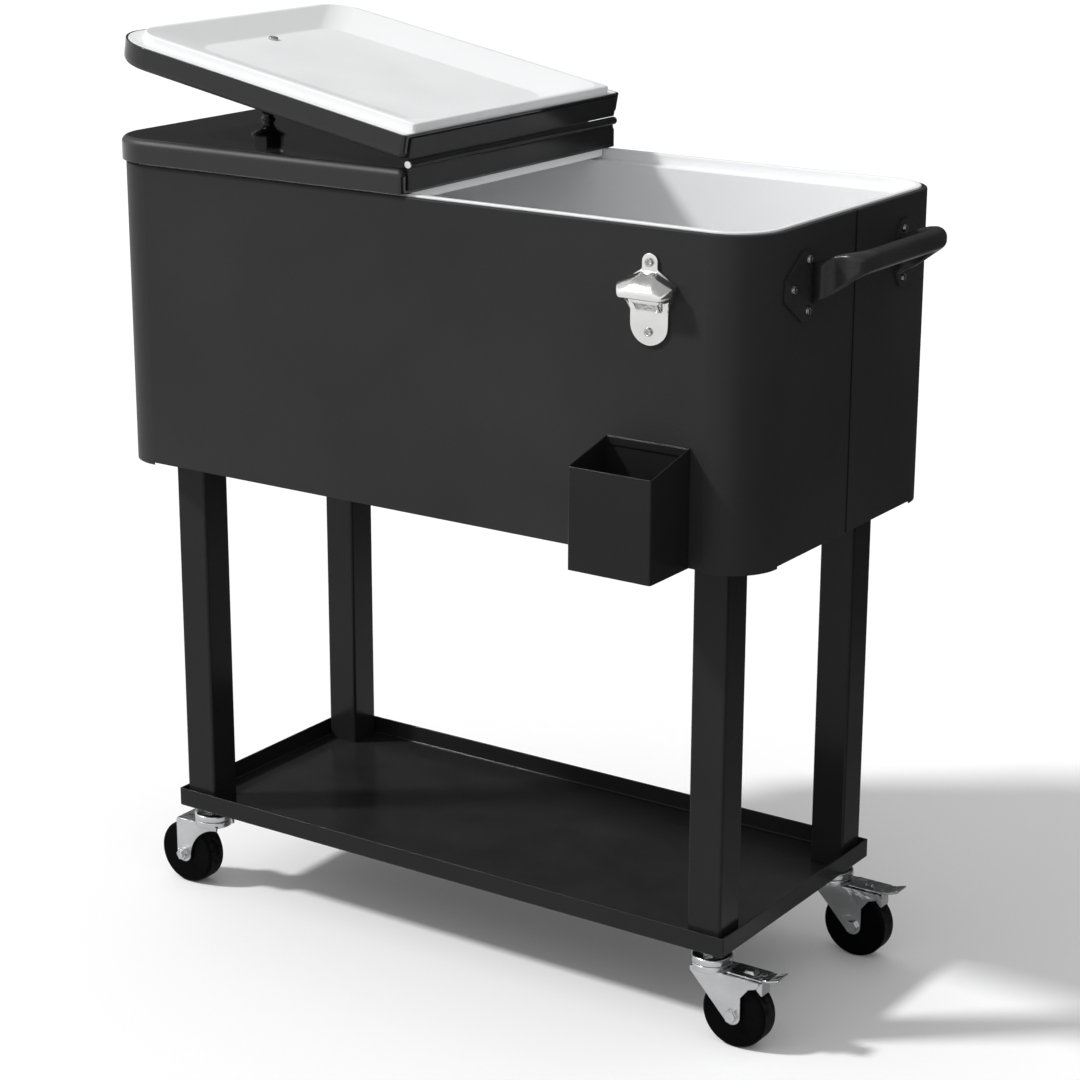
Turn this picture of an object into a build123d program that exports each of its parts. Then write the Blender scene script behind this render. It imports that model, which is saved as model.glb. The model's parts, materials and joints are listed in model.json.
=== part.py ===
from build123d import *
import math
import os

os.makedirs("parts", exist_ok=True)

# A patio cooler on four legs with casters. Millimetres, Z up, floor at zero.
# X runs along the cooler with the pull handle at the +X end, and the front faces -Y.
# The origin is the middle of the whole object's box, on the floor.

# insulated body
body_length = 812.0
body_width = 390.0
body_height = 330.0
corner_radius = 54.0
sheet = 1.0
seam_gap = 0.5
hem_width = 6.0
hem_height = 3.0
hem_round = 1.6
bottom_flange = 12.0
corner_lip = 2.5
base_sheet = 1.2
fit_gap = 0.1

# white tub inside the body
ledge_rise = 2.0
ledge_edge = 13.0
ledge_round = 1.0
step_lip = 8.0
recess_depth = 12.0
wall_inset = 27.0
liner_wall = 3.0
tub_taper = 1.0
tub_floor_radius = 14.0
floor_margin = 9.0
floor_height = 30.0

# folding lids
lid_overhang = 4.0
lid_height = 25.5
lid_sheet = 1.2
lid_hem = 2.6
lid_hem_height = 3.0
lid_top_radius = 8.0
lid_hinge_corner = 5.0
lid_rest_gap = 0.3
rim_drop = 0.4
plug_depth = 9.0
plug_clearance = 2.5
plug_hinge_gap = 0.3
plug_rim = 6.0
dish_floor_drop = 6.0
dish_floor_plate = 2.5
dish_side = 63.0
dish_hinge = 33.0
dish_end = 35.0
dish_corner = 22.0
dish_floor_round = 9.0
plug_round = 2.0

# lid hinge
pin_above_top = 4.1
pin_radius = 2.5
pin_head_radius = 3.9
pin_head = 1.6
pin_clearance = 0.05
barrel_radius = 4.4
leaf = 2.0
leaf_gap = 0.4
leaf_end = 9.0
knuckle_gap = 0.5
barrel_relief = 0.8

# lid knobs
knob_from_end = 72.0
knob_height = 33.5
knob_neck_radius = 6.3
knob_foot_radius = 8.0
knob_flare_radius = 19.8
knob_flare_height = 17.5
knob_head_radius = 17.3
knob_head_chamfer = 2.0
knob_gap = 0.5
knob_screw_radius = 3.0
knob_screw_head = 5.5
knob_screw_depth = 16.0

# frame and shelf
leg_size = 40.0
leg_wall = 2.0
leg_corner = 3.0
leg_length = 423.0
leg_inset_x = 68.0
leg_inset_y = 62.5
leg_cap = 3.0
leg_foot = 5.0
leg_bolt_radius = 4.0
tray_margin_x = 7.0
tray_margin_y = 6.0
tray_sheet = 1.5
tray_lip = 22.0
tray_bend = 2.5
tray_slit = 0.8

# casters
wheel_radius = 37.5
wheel_width = 25.0
wheel_round = 4.0
tyre_gap = 4.0
fork_sheet = 2.5
fork_side_gap = 1.5
crown_height = 7.4
crown_radius = 21.5
race_gap = 0.6
race_height = 7.4
race_radius = 22.0
collar_height = 8.6
collar_radius = 11.0
stud_radius = 5.0
king_radius = 6.0
king_head_radius = 9.0
king_head = 3.2
king_clear = 0.4
run_clearance = 0.06
caster_trail = 33.6
axle_radius = 4.0
boss_radius = 10.0
fork_reach = 64.5
pedal_start = 25.0
pedal_pivot = 50.0
pedal_pin_radius = 2.0
pedal_tip = 84.0
pedal_plate = 2.0
pedal_side_gap = 1.0
pad_clearance = 1.8

# pull handle
tube_radius = 11.0
bar_reach = 52.0
bar_rise = 23.5
bar_bend = 25.0
handle_drop = 57.5
strap_inset = 3.5
strap_thick = 7.0
strap_height = 42.0
plate_thick = 3.0
plate_side = 51.0
plate_width = 58.5
plate_half_height = 34.5
plate_outer_half = 11.0
screw_radius = 2.4
screw_head_radius = 4.6
screw_head = 2.6
screw_length = 14.0

# bottle opener and cap catcher
opener_from_end = 116.0
opener_drop = 67.0
opener_depth = 23.0
opener_plate = 3.0
opener_span = 67.5
opener_tab = 9.0
opener_lower = 21.5
hood_foot = 5.0
hood_wall = 2.8
hood_wing = 29.5
hood_lip = 21.5
hood_top = 19.5
hood_side = 9.0
hood_drop = 4.0
hood_lip_height = 6.0
opener_neck = 18.0
tongue_width = 30.0
tongue_reach = 8.5
tongue_drop = 8.0
catcher_width = 95.0
catcher_depth = 70.0
catcher_rear = 121.0
catcher_front = 104.0
catcher_sheet = 1.2
catcher_gap = 0.5
catcher_corner = 2.5
catcher_hem = 8.0
hook_span = 52.0
hook_height = 74.0
hook_drop = 12.0
hook_clearance = 0.4

# drain
drain_radius = 12.0
drain_bore = 8.5
drain_flange = 19.0
drain_length = 30.0
gasket = 1.5
cap_wall = 3.5
cap_length = 18.0

# levels and places that follow from the sizes above
roof_under = 2 * wheel_radius + tyre_gap
roof_top = roof_under + fork_sheet
fork_top = roof_under + crown_height
race_bottom = fork_top + race_gap
race_top = race_bottom + race_height
tray_z = race_top + collar_height
leg_z = tray_z + tray_sheet
base_z = leg_z + leg_length
body_z = base_z - sheet
body_top = body_z + body_height
ledge_z = body_top + ledge_rise
step_z = ledge_z - recess_depth
floor_z = body_z + floor_height
lid_top_w = -pin_above_top
lid_edge_w = lid_top_w - lid_height
rim_w = lid_edge_w - rim_drop
plug_w = rim_w - plug_depth
dish_w = rim_w + dish_floor_drop
liner_top_w = dish_w + dish_floor_plate
pin_z = ledge_z + lid_rest_gap - rim_w
handle_reach = body_length / 2 + bar_reach + tube_radius
front_reach = body_width / 2 + catcher_gap + catcher_depth
cx = (body_length / 2 + lid_overhang - handle_reach) / 2
cy = (front_reach - body_width / 2 - lid_overhang) / 2
end_x = cx + body_length / 2
front_y = cy - body_width / 2
leg_x = body_length / 2 - leg_inset_x
leg_y = body_width / 2 - leg_inset_y
tray_length = 2 * leg_x + leg_size + 2 * tray_margin_x
tray_width = 2 * leg_y + leg_size + 2 * tray_margin_y
leg_places = [(cx + sx * leg_x, cy + sy * leg_y) for sx in (-1, 1) for sy in (-1, 1)]
handle_z = body_top - handle_drop
plate_outer = body_width / 2 - plate_side
plate_inner = plate_outer - plate_width
strap_y = plate_inner + strap_inset
bar_half = strap_y - bar_bend
bar_z = handle_z + bar_rise
opener_x = cx + body_length / 2 - opener_from_end
opener_z = body_top - opener_drop
catcher_back = front_y - catcher_gap
hook_z = body_z + hook_height
lid_u0 = leaf_gap + leaf
lid_u1 = body_length / 2 + lid_overhang
lid_v = body_width / 2 + lid_overhang
knob_u = lid_u1 - knob_from_end
head_edge = knob_u - knob_head_radius + knob_head_chamfer
fold = 2 * math.degrees(math.atan((knob_height - pin_above_top + knob_gap / 2) / head_edge))
open_angle = 180.0 - fold

body_plane = Plane(origin=(cx, cy, body_z))
front_plane = Plane(origin=(0, front_y, 0), x_dir=(1, 0, 0), z_dir=(0, -1, 0))
end_plane = Plane(origin=(end_x, cy, 0), x_dir=(0, 1, 0), z_dir=(1, 0, 0))

plate_screws = [(plate_inner + 14.5, plate_half_height - 9.5)]
plate_screws += [(plate_inner + 14.5, 9.5 - plate_half_height)]
plate_screws += [(plate_outer - 14.5, 0.0)]
opener_screws_at = [(opener_x, opener_z + s * opener_span / 2) for s in (1, -1)]
hook_screws_at = [(opener_x + s * hook_span / 2, hook_z) for s in (1, -1)]


def level(z):
    """Horizontal plane over the middle of the body."""
    return Plane(origin=(cx, cy, z))


def body_outline(inset, mode=Mode.ADD):
    """The body's plan shape, drawn in by the inset all round."""
    RectangleRounded(body_length - 2 * inset, body_width - 2 * inset, corner_radius - inset, mode=mode)


# Outer skin: two bent sheets that meet in a seam at the middle of each end
for name, side in (("front_shell", -1), ("rear_shell", 1)):
    with BuildPart() as shell:
        with BuildSketch(level(body_z)):
            body_outline(0)
            body_outline(sheet, Mode.SUBTRACT)
        extrude(amount=body_height)
        # folded hem along the top
        with BuildSketch(level(body_top)):
            body_outline(0)
            body_outline(hem_width, Mode.SUBTRACT)
        extrude(amount=-hem_height)
        top_face = shell.faces().filter_by(Plane.XY).sort_by(Axis.Z)[-1]
        fillet(top_face.outer_wire().edges(), hem_round)
        # bottom flange along the straight runs
        with BuildSketch(level(body_z)):
            body_outline(0)
            body_outline(bottom_flange, Mode.SUBTRACT)
            with GridLocations(body_length - corner_radius, body_width - corner_radius, 2, 2):
                Rectangle(corner_radius, corner_radius, mode=Mode.SUBTRACT)
        extrude(amount=sheet)
        # at the round corners the edge isn't folded, so it hangs a little lower
        with BuildSketch(level(body_z)):
            body_outline(0)
            body_outline(sheet, Mode.SUBTRACT)
            Rectangle(body_length - 2 * corner_radius, 2 * body_width, mode=Mode.SUBTRACT)
            Rectangle(2 * body_length, body_width - 2 * corner_radius, mode=Mode.SUBTRACT)
        extrude(amount=-corner_lip)
        # cut away the other half
        with BuildSketch(level(body_z - 2 * corner_lip)):
            with Locations((0, side * (seam_gap / 2 - body_width))):
                Rectangle(2 * body_length, 2 * body_width)
        extrude(amount=body_height + 4 * corner_lip, mode=Mode.SUBTRACT)
        # screw holes
        if side < 0:
            with BuildSketch(front_plane):
                with Locations(*opener_screws_at, *hook_screws_at):
                    Circle(screw_radius + fit_gap)
            extrude(amount=-2 * sheet, mode=Mode.SUBTRACT)
        with BuildSketch(end_plane):
            with Locations(*[(side * y, handle_z + z) for y, z in plate_screws]):
                Circle(screw_radius + fit_gap)
        extrude(amount=-2 * sheet, mode=Mode.SUBTRACT)
    shell.part.label = name
    export_step(shell.part, "parts/" + name + ".step")

# Bottom sheet that rests on the skin's flange
with BuildPart() as base_pan:
    with BuildSketch(level(base_z)):
        body_outline(sheet + fit_gap)
        Circle(drain_radius + fit_gap, mode=Mode.SUBTRACT)
        with GridLocations(2 * leg_x, 2 * leg_y, 2, 2):
            Circle(leg_bolt_radius + fit_gap, mode=Mode.SUBTRACT)
    extrude(amount=base_sheet)
base_pan.part.label = "base_pan"
export_step(base_pan.part, "parts/base_pan.step")


def tub_block(grow, depth_grow):
    """The tub's inside space, grown by a wall: tapered, with a round foot."""
    down = Plane(origin=(cx, cy, step_z), x_dir=(1, 0, 0), z_dir=(0, 0, -1))
    with BuildPart() as block:
        with BuildSketch(down):
            body_outline(wall_inset - grow)
        extrude(amount=step_z - floor_z + depth_grow, taper=tub_taper)
        fillet(block.faces().sort_by(Axis.Z)[0].edges(), tub_floor_radius + grow)
    return block.part


tub_space = tub_block(0.0, 0.0)
tub_outside = tub_block(liner_wall, liner_wall)
tub_pocket = tub_block(liner_wall + fit_gap, liner_wall + fit_gap)

# White rim: a raised ledge round the opening and a step that takes the lids' plugs
with BuildPart() as tub_rim:
    with BuildSketch(level(ledge_z)):
        body_outline(hem_width + fit_gap)
        body_outline(ledge_edge, Mode.SUBTRACT)
    extrude(amount=-ledge_rise - hem_height / 2)
    fillet(tub_rim.faces().sort_by(Axis.Z)[-1].edges(), ledge_round)
    with BuildSketch(level(step_z - liner_wall)):
        body_outline(ledge_edge - liner_wall)
        body_outline(ledge_edge, Mode.SUBTRACT)
    extrude(amount=recess_depth + liner_wall - ledge_rise)
    with BuildSketch(level(step_z - liner_wall)):
        body_outline(ledge_edge - liner_wall)
        body_outline(wall_inset - step_lip, Mode.SUBTRACT)
    extrude(amount=liner_wall)
tub_rim.part.label = "tub_rim"
export_step(tub_rim.part, "parts/tub_rim.step")

# White tub wall, bonded inside the rim's step, with a round foot
floor_inset = wall_inset + tub_floor_radius + floor_margin
with BuildPart() as tub_liner:
    with BuildSketch(level(step_z - liner_wall)):
        body_outline(wall_inset - step_lip)
        body_outline(wall_inset, Mode.SUBTRACT)
    extrude(amount=liner_wall)
    add(tub_outside)
    add(tub_space, mode=Mode.SUBTRACT)
    with BuildSketch(level(floor_z + 1)):
        body_outline(floor_inset)
    extrude(amount=-3 * liner_wall, mode=Mode.SUBTRACT)
tub_liner.part.label = "tub_liner"
export_step(tub_liner.part, "parts/tub_liner.step")

# White floor panel, bonded into the tub wall's foot, with a hole for the drain
with BuildPart() as tub_floor:
    with BuildSketch(level(floor_z)):
        body_outline(floor_inset)
        Circle(drain_radius + fit_gap, mode=Mode.SUBTRACT)
    extrude(amount=-liner_wall)
tub_floor.part.label = "tub_floor"
export_step(tub_floor.part, "parts/tub_floor.step")

# Foam between the tub and the skin
foam_z = base_z + base_sheet + fit_gap
with BuildPart() as foam:
    with BuildSketch(level(foam_z)):
        body_outline(sheet + fit_gap)
    extrude(amount=body_top - hem_height - fit_gap - foam_z)
    with BuildSketch(level(step_z - liner_wall - fit_gap)):
        body_outline(ledge_edge - liner_wall - fit_gap)
    extrude(amount=body_height, mode=Mode.SUBTRACT)
    add(tub_pocket, mode=Mode.SUBTRACT)
    with BuildSketch(level(body_z)):
        Circle(drain_radius + 2 * fit_gap)
    extrude(amount=2 * floor_height, mode=Mode.SUBTRACT)
    with BuildSketch(level(foam_z)):
        with GridLocations(2 * leg_x, 2 * leg_y, 2, 2):
            Circle(2.6 * leg_bolt_radius)
    extrude(amount=1.2 * leg_bolt_radius, mode=Mode.SUBTRACT)
    with BuildSketch(front_plane):
        with Locations(*opener_screws_at, *hook_screws_at):
            Circle(2 * screw_radius)
    extrude(amount=-screw_length - 2, mode=Mode.SUBTRACT)
    with BuildSketch(end_plane):
        with Locations(*[(s * y, handle_z + z) for s in (1, -1) for y, z in plate_screws]):
            Circle(2 * screw_radius)
    extrude(amount=-screw_length - 2, mode=Mode.SUBTRACT)
foam.part.label = "foam_insulation"
export_step(foam.part, "parts/foam_insulation.step")


# Lids. Each is drawn in its own plane: u runs away from the hinge pin, w is up when the lid is shut.
left_plane = Plane(origin=(cx, cy, pin_z), x_dir=(-1, 0, 0), z_dir=(0, 0, 1))
a = math.radians(open_angle)
right_plane = Plane(origin=(cx, cy, pin_z), x_dir=(math.cos(a), 0, math.sin(a)), z_dir=(-math.sin(a), 0, math.cos(a)))


def lid_outline(sketch, inset):
    """A lid's plan shape: round corners at the outer end, almost square ones at the hinge."""
    with Locations(((lid_u0 + lid_u1) / 2, 0)):
        Rectangle(lid_u1 - lid_u0 - 2 * inset, 2 * (lid_v - inset))
    fillet(sketch.vertices().group_by(Axis.X)[-1], corner_radius + lid_overhang - inset)
    fillet(sketch.vertices().group_by(Axis.X)[0], lid_hinge_corner - inset / 2)


plug_u0 = lid_u0 + lid_hem + plug_hinge_gap
plug_u1 = body_length / 2 - ledge_edge - plug_clearance
plug_v = body_width / 2 - ledge_edge - plug_clearance
dish_u0 = plug_u0 + plug_rim + dish_hinge
dish_u1 = plug_u1 - plug_rim - dish_end
dish_v = plug_v - dish_side

for side, plane in (("left", left_plane), ("right", right_plane)):
    up = Axis(plane.origin, plane.z_dir)
    upright = Plane(origin=plane.from_local_coords((knob_u, 0, lid_top_w)), x_dir=plane.x_dir, z_dir=-plane.y_dir)
    knob_axis = Axis(upright.origin, plane.z_dir)

    with BuildPart() as lid_space:
        with BuildSketch(plane.offset(lid_edge_w + lid_hem_height)) as outline:
            lid_outline(outline, lid_sheet)
        extrude(amount=lid_height - lid_hem_height - lid_sheet)
        fillet(lid_space.faces().sort_by(up)[-1].edges(), lid_top_radius - lid_sheet)
        with BuildSketch(plane.offset(lid_edge_w - 1)) as outline:
            lid_outline(outline, lid_hem)
        extrude(amount=lid_hem_height + 1)

    # pressed sheet cover with a hemmed skirt
    with BuildPart() as cover:
        with BuildSketch(plane.offset(lid_edge_w)) as outline:
            lid_outline(outline, 0.0)
        extrude(amount=lid_height)
        fillet(cover.faces().sort_by(up)[-1].edges(), lid_top_radius)
        add(lid_space.part, mode=Mode.SUBTRACT)
        with BuildSketch(plane.offset(lid_top_w + 1)):
            with Locations((knob_u, 0)):
                Circle(knob_screw_radius + fit_gap)
        extrude(amount=-lid_top_radius, mode=Mode.SUBTRACT)
    cover.part.label = side + "_lid_cover"
    export_step(cover.part, "parts/" + side + "_lid_cover.step")

    # white inner pan: a plug that drops into the tub, dished in the middle
    with BuildPart() as dish:
        with BuildSketch(plane.offset(plug_w - 0.01)):
            with Locations(((plug_u0 + plug_u1) / 2, 0)):
                RectangleRounded(plug_u1 - plug_u0 - 2 * plug_rim, 2 * (plug_v - plug_rim), dish_corner)
        with BuildSketch(plane.offset(dish_w)):
            with Locations(((dish_u0 + dish_u1) / 2, 0)):
                RectangleRounded(dish_u1 - dish_u0, 2 * dish_v, dish_corner)
        loft()
        fillet(dish.faces().sort_by(up)[-1].edges(), dish_floor_round)
    with BuildPart() as pan:
        with BuildSketch(plane.offset(rim_w)) as outline:
            lid_outline(outline, lid_hem + fit_gap)
        extrude(amount=lid_hem_height + rim_drop)
        with BuildSketch(plane.offset(lid_edge_w + lid_hem_height)) as outline:
            lid_outline(outline, lid_sheet + fit_gap)
        extrude(amount=liner_top_w - lid_edge_w - lid_hem_height)
        with BuildSketch(plane.offset(rim_w)) as outline:
            with Locations(((plug_u0 + plug_u1) / 2, 0)):
                Rectangle(plug_u1 - plug_u0, 2 * plug_v)
            fillet(outline.vertices().group_by(Axis.X)[-1], corner_radius - ledge_edge - plug_clearance)
            fillet(outline.vertices().group_by(Axis.X)[0], lid_hinge_corner)
        extrude(amount=-plug_depth)
        fillet(pan.faces().sort_by(up)[0].edges(), plug_round)
        add(dish.part, mode=Mode.SUBTRACT)
        with BuildSketch(plane.offset(dish_w - 1)):
            with Locations((knob_u, 0)):
                Circle(knob_screw_radius + fit_gap)
        extrude(amount=lid_height, mode=Mode.SUBTRACT)
    pan.part.label = side + "_lid_pan"
    export_step(pan.part, "parts/" + side + "_lid_pan.step")

    # foam slab between cover and pan
    with BuildPart() as slab:
        with BuildSketch(plane.offset(liner_top_w + fit_gap)) as outline:
            lid_outline(outline, lid_sheet + 2 * fit_gap)
        extrude(amount=lid_top_w - lid_sheet - fit_gap - liner_top_w - fit_gap)
        fillet(slab.faces().sort_by(up)[-1].edges(), lid_top_radius - lid_sheet)
        with BuildSketch(plane.offset(liner_top_w - 1)):
            with Locations((knob_u, 0)):
                Circle(knob_screw_radius + 3 * fit_gap)
        extrude(amount=lid_height, mode=Mode.SUBTRACT)
    slab.part.label = side + "_lid_foam"
    export_step(slab.part, "parts/" + side + "_lid_foam.step")

    # knob: a foot, a neck that flares out, and a six-sided head
    with BuildPart() as knob:
        with BuildSketch(upright):
            with BuildLine():
                Polyline(
                    (0, 0),
                    (knob_foot_radius, 0),
                    (knob_foot_radius, 2.0),
                    (knob_neck_radius, 3.0),
                    (knob_neck_radius, 0.35 * knob_flare_height),
                    (0.48 * knob_flare_radius, 0.62 * knob_flare_height),
                    (knob_flare_radius, knob_flare_height - 1.0),
                    (knob_flare_radius, knob_flare_height),
                    (0, knob_flare_height),
                    close=True,
                )
            make_face()
        revolve(axis=knob_axis)
        with BuildSketch(plane.offset(lid_top_w + knob_flare_height)):
            with Locations((knob_u, 0)):
                RegularPolygon(knob_head_radius, 6)
        extrude(amount=knob_height - knob_flare_height)
        chamfer(knob.faces().sort_by(up)[-1].edges(), knob_head_chamfer)
        with BuildSketch(plane.offset(lid_top_w)):
            with Locations((knob_u, 0)):
                Circle(knob_screw_radius + 0.05)
        extrude(amount=knob_screw_depth + 1, mode=Mode.SUBTRACT)
    knob.part.label = side + "_knob"
    export_step(knob.part, "parts/" + side + "_knob.step")

    # screw that holds the knob, put in from the white side
    with BuildPart() as knob_screw:
        with BuildSketch(plane.offset(dish_w)):
            with Locations((knob_u, 0)):
                Circle(knob_screw_radius)
        extrude(amount=lid_top_w + knob_screw_depth - dish_w)
        with BuildSketch(plane.offset(dish_w)):
            with Locations((knob_u, 0)):
                Circle(knob_screw_head)
        extrude(amount=-knob_screw_radius)
        fillet(knob_screw.faces().sort_by(up)[0].edges(), 1.5)
        with BuildSketch(plane.offset(dish_w - knob_screw_radius)):
            with Locations((knob_u, 0)):
                Rectangle(1.2, knob_screw_head)
                Rectangle(knob_screw_head, 1.2)
        extrude(amount=1.5, mode=Mode.SUBTRACT)
    knob_screw.part.label = side + "_knob_screw"
    export_step(knob_screw.part, "parts/" + side + "_knob_screw.step")

    # hinge leaf with its knuckles: two outer ones on the left lid, the middle one on the right
    leaf_half = lid_v - leaf_end
    third = 2 * leaf_half / 3
    spans = [(-third, third - knuckle_gap), (third, third - knuckle_gap)] if side == "left" else [(0.0, third - knuckle_gap)]
    across = Plane(origin=plane.origin, x_dir=plane.x_dir, z_dir=plane.y_dir)
    with BuildPart() as hinge_leaf:
        with BuildSketch(Plane(origin=plane.from_local_coords((leaf_gap, 0, 0)), x_dir=plane.y_dir, z_dir=plane.x_dir)):
            leaf_top = -barrel_radius - barrel_relief
            leaf_bottom = lid_edge_w + lid_hem_height
            with Locations((0, (leaf_top + leaf_bottom) / 2)):
                Rectangle(2 * leaf_half, leaf_top - leaf_bottom)
            for middle, width in spans:
                with Locations((middle, leaf_top / 2)):
                    Rectangle(width, -leaf_top + 0.02)
        extrude(amount=leaf)
        for middle, width in spans:
            with BuildSketch(across.offset(middle - width / 2)):
                Circle(barrel_radius)
            extrude(amount=width)
        with BuildSketch(across.offset(-leaf_half)):
            Circle(pin_radius + pin_clearance)
        extrude(amount=2 * leaf_half, mode=Mode.SUBTRACT)
    hinge_leaf.part.label = side + "_hinge_leaf"
    export_step(hinge_leaf.part, "parts/" + side + "_hinge_leaf.step")

# Hinge pin with a head at each end
with BuildPart() as hinge_pin:
    pin_plane = Plane(origin=(cx, cy, pin_z), x_dir=(1, 0, 0), z_dir=(0, -1, 0))
    pin_half = lid_v - leaf_end + knuckle_gap
    with BuildSketch(pin_plane.offset(-pin_half)):
        Circle(pin_radius)
    extrude(amount=2 * pin_half)
    with BuildSketch(pin_plane.offset(pin_half)):
        Circle(pin_head_radius)
    extrude(amount=pin_head)
    with BuildSketch(pin_plane.offset(-pin_half)):
        Circle(pin_head_radius)
    extrude(amount=-pin_head)
    fillet(hinge_pin.faces().sort_by(Axis.Y)[0].edges(), 0.6)
    fillet(hinge_pin.faces().sort_by(Axis.Y)[-1].edges(), 0.6)
hinge_pin.part.label = "hinge_pin"
export_step(hinge_pin.part, "parts/hinge_pin.step")

# Legs: square tubes with a welded top cap and a foot plate for the caster's stud
for name, sx, sy in (("front_left", -1, -1), ("front_right", 1, -1), ("rear_left", -1, 1), ("rear_right", 1, 1)):
    with BuildPart() as leg:
        at = Plane(origin=(cx + sx * leg_x, cy + sy * leg_y, leg_z))
        with BuildSketch(at):
            RectangleRounded(leg_size, leg_size, leg_corner)
        extrude(amount=leg_length)
        with BuildSketch(at.offset(leg_foot)):
            RectangleRounded(leg_size - 2 * leg_wall, leg_size - 2 * leg_wall, leg_corner - leg_wall / 2)
        extrude(amount=leg_length - leg_foot - leg_cap, mode=Mode.SUBTRACT)
        with BuildSketch(at):
            Circle(stud_radius + 0.05)
        extrude(amount=leg_foot, mode=Mode.SUBTRACT)
        with BuildSketch(at.offset(leg_length)):
            Circle(leg_bolt_radius + fit_gap)
        extrude(amount=-leg_cap, mode=Mode.SUBTRACT)
    leg.part.label = "leg_" + name
    export_step(leg.part, "parts/leg_" + name + ".step")

# Bolts from the body's bottom sheet into the legs, and their nuts
bolt_top = base_z + base_sheet
with BuildPart() as leg_bolts:
    for x, y in leg_places:
        with BuildSketch(Plane(origin=(x, y, bolt_top))):
            Circle(2.4 * leg_bolt_radius)
        extrude(amount=leg_bolt_radius)
        with BuildSketch(Plane(origin=(x, y, bolt_top))):
            Circle(leg_bolt_radius)
        extrude(amount=-base_sheet - leg_cap - 2.6 * leg_bolt_radius)
leg_bolts.part.label = "leg_bolts"
export_step(leg_bolts.part, "parts/leg_bolts.step")

with BuildPart() as leg_nuts:
    for x, y in leg_places:
        with BuildSketch(Plane(origin=(x, y, base_z - leg_cap))):
            RegularPolygon(1.85 * leg_bolt_radius, 6)
            Circle(leg_bolt_radius + 0.05, mode=Mode.SUBTRACT)
        extrude(amount=-1.7 * leg_bolt_radius)
leg_nuts.part.label = "leg_nuts"
export_step(leg_nuts.part, "parts/leg_nuts.step")

# Lower shelf: a folded tray with open corner slits
with BuildPart() as shelf_tray:
    with BuildSketch(level(tray_z)):
        Rectangle(tray_length, tray_width)
    extrude(amount=tray_lip)
    fillet(shelf_tray.faces().sort_by(Axis.Z)[0].edges(), tray_bend)
    with BuildPart(mode=Mode.PRIVATE) as tray_space:
        with BuildSketch(level(tray_z + tray_sheet)):
            Rectangle(tray_length - 2 * tray_sheet, tray_width - 2 * tray_sheet)
        extrude(amount=tray_lip)
        fillet(tray_space.faces().sort_by(Axis.Z)[0].edges(), tray_bend - tray_sheet / 2)
    add(tray_space.part, mode=Mode.SUBTRACT)
    with BuildSketch(level(tray_z + tray_sheet + tray_bend)):
        with GridLocations(tray_length, tray_width - 2 * tray_sheet - tray_slit, 2, 2):
            Rectangle(4 * tray_sheet, tray_slit)
    extrude(amount=tray_lip, mode=Mode.SUBTRACT)
    with BuildSketch(level(tray_z)):
        with GridLocations(2 * leg_x, 2 * leg_y, 2, 2):
            Circle(stud_radius + 3 * fit_gap)
    extrude(amount=2 * tray_sheet, mode=Mode.SUBTRACT)
shelf_tray.part.label = "shelf_tray"
export_step(shelf_tray.part, "parts/shelf_tray.step")

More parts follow.
